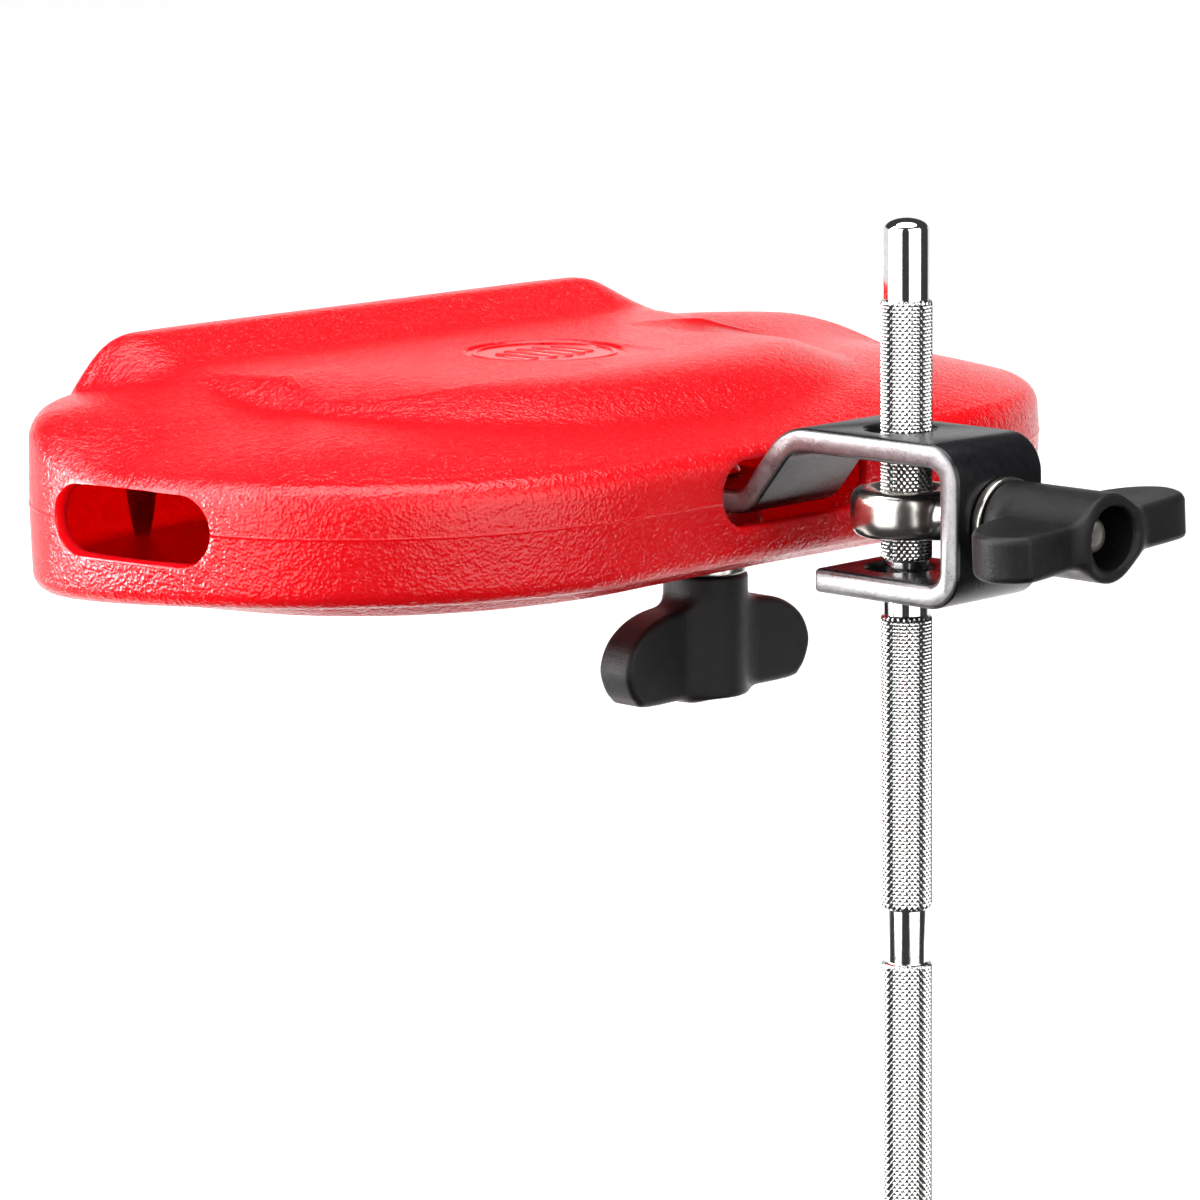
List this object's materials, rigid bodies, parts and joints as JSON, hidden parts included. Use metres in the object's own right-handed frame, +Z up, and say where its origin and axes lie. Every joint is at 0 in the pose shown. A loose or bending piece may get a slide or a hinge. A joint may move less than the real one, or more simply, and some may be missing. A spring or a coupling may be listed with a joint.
{
  "type": "moulded percussion block on a rod clamp",
  "caption": "Hollow moulded percussion block with end sound slots, on a bent-strap bracket clamped to a knurled rod by an eye bolt and wing nut.",
  "frame": {"origin": "centre of the rod's flat lower end", "axes": "+Z up the rod, +X along the block's rear wall, +Y from the rod towards the player"},
  "size_m": [0.2256, 0.2004, 0.21],
  "materials": {
    "chrome": "chrome plate, diamond knurl",
    "nickel": "polished nickel plate",
    "zinc": "bright zinc plate",
    "black_coat": "satin black coating",
    "nylon": "fine moulded grain, black",
    "red_shell": "semi-gloss leathery grain, red"
  },
  "bodies": {
    "rod": {"rod": "chrome"},
    "eye_bolt": {"eye_bolt": "nickel"},
    "bracket": {"bracket": "black_coat", "mount_bolt": "zinc", "clamp_washer": "nickel"},
    "clamp_nut": {"clamp_wing_nut": "nylon", "clamp_nut_insert": "zinc"},
    "block": {"block_shell": "red_shell"},
    "mount_washer": {"mount_washer": "nickel"},
    "mount_nut": {"mount_wing_nut": "nylon", "mount_nut_insert": "zinc"}
  },
  "joints": [
    {"name": "height_slide", "type": "slide", "parent": "rod", "child": "eye_bolt", "axis": [0, 0, 1], "range_m": [-0.09, 0.024]},
    {"name": "clamp_release", "type": "slide", "parent": "eye_bolt", "child": "bracket", "axis": [0, -1, 0], "range_m": [0, 0.00254]},
    {"name": "clamp_nut_turn", "type": "hinge", "parent": "bracket", "child": "clamp_nut", "pos_m": [0, -0.0249, 0.156], "axis": [0, -1, 0], "range_deg": [0, 720]},
    {"name": "block_yaw", "type": "hinge", "parent": "bracket", "child": "block", "pos_m": [0, 0.051, 0.156], "axis": [0, 0, 1], "range_deg": [-4.5, 4.5]},
    {"name": "mount_washer_drop", "type": "slide", "parent": "bracket", "child": "mount_washer", "axis": [0, 0, -1], "range_m": [0, 0.00508]},
    {"name": "mount_nut_turn", "type": "hinge", "parent": "mount_washer", "child": "mount_nut", "pos_m": [0, 0.051, 0.13865], "axis": [0, 0, -1], "range_deg": [0, 1440]}
  ],
  "couplings": [
    {"joint": "clamp_nut_turn", "follows": "clamp_release", "rad_per_m": 4947.4},
    {"joint": "mount_washer_drop", "follows": "mount_nut_turn", "m_per_rad": 0.00020213}
  ]
}
